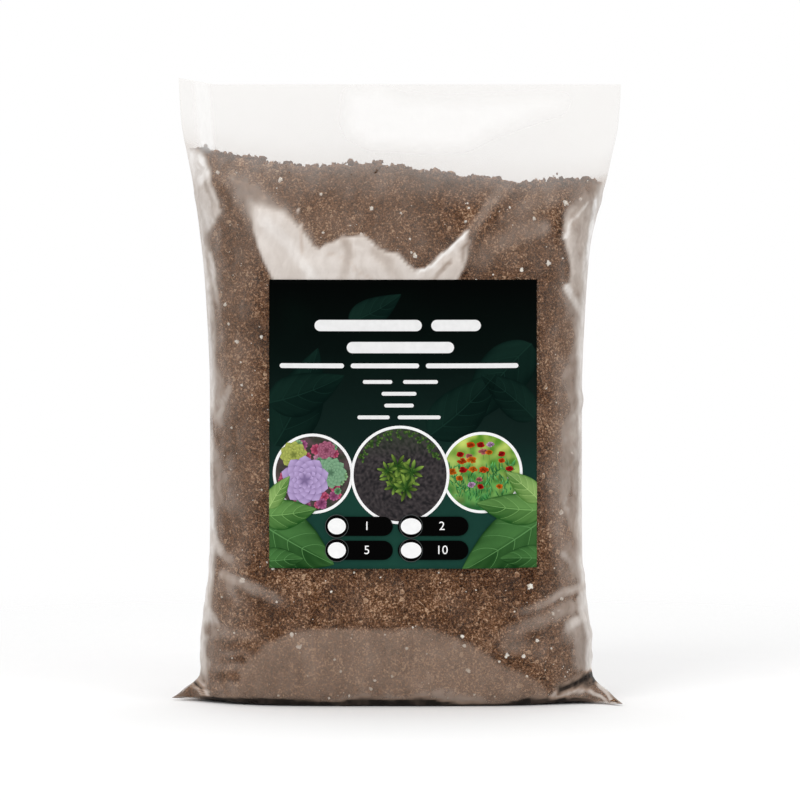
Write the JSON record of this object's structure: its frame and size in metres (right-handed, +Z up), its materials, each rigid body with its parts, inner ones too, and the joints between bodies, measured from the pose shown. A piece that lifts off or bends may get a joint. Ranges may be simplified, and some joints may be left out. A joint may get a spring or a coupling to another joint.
{
  "type": "compost bag",
  "caption": "Clear film bag of potting substrate standing on its folded base, with an open flat mouth and a rectangular label on the front.",
  "frame": {"origin": "on the floor, at the middle of the weld under the base", "axes": "+X along the weld to the right seen from the front, the front with the label faces -Y, +Z up to the mouth"},
  "size_m": [0.3, 0.0845, 0.4155],
  "materials": {
    "clear_film": "clear, slightly milky film",
    "soil": "loose crumbs of coir, peat and soil",
    "printed_label": "printed, satin",
    "perlite": "matt, puffed mineral"
  },
  "bodies": {
    "root": {"film_bag": "clear_film", "substrate_fill": "soil", "label": "printed_label", "perlite_grain_01": "perlite", "perlite_grain_02": "perlite", "perlite_grain_03": "perlite", "perlite_grain_04": "perlite", "perlite_grain_05": "perlite", "perlite_grain_06": "perlite", "perlite_grain_07": "perlite", "perlite_grain_08": "perlite", "perlite_grain_09": "perlite", "perlite_grain_10": "perlite", "perlite_grain_11": "perlite", "perlite_grain_12": "perlite", "perlite_grain_13": "perlite", "perlite_grain_14": "perlite", "perlite_grain_15": "perlite", "perlite_grain_16": "perlite"}
  },
  "joints": []
}
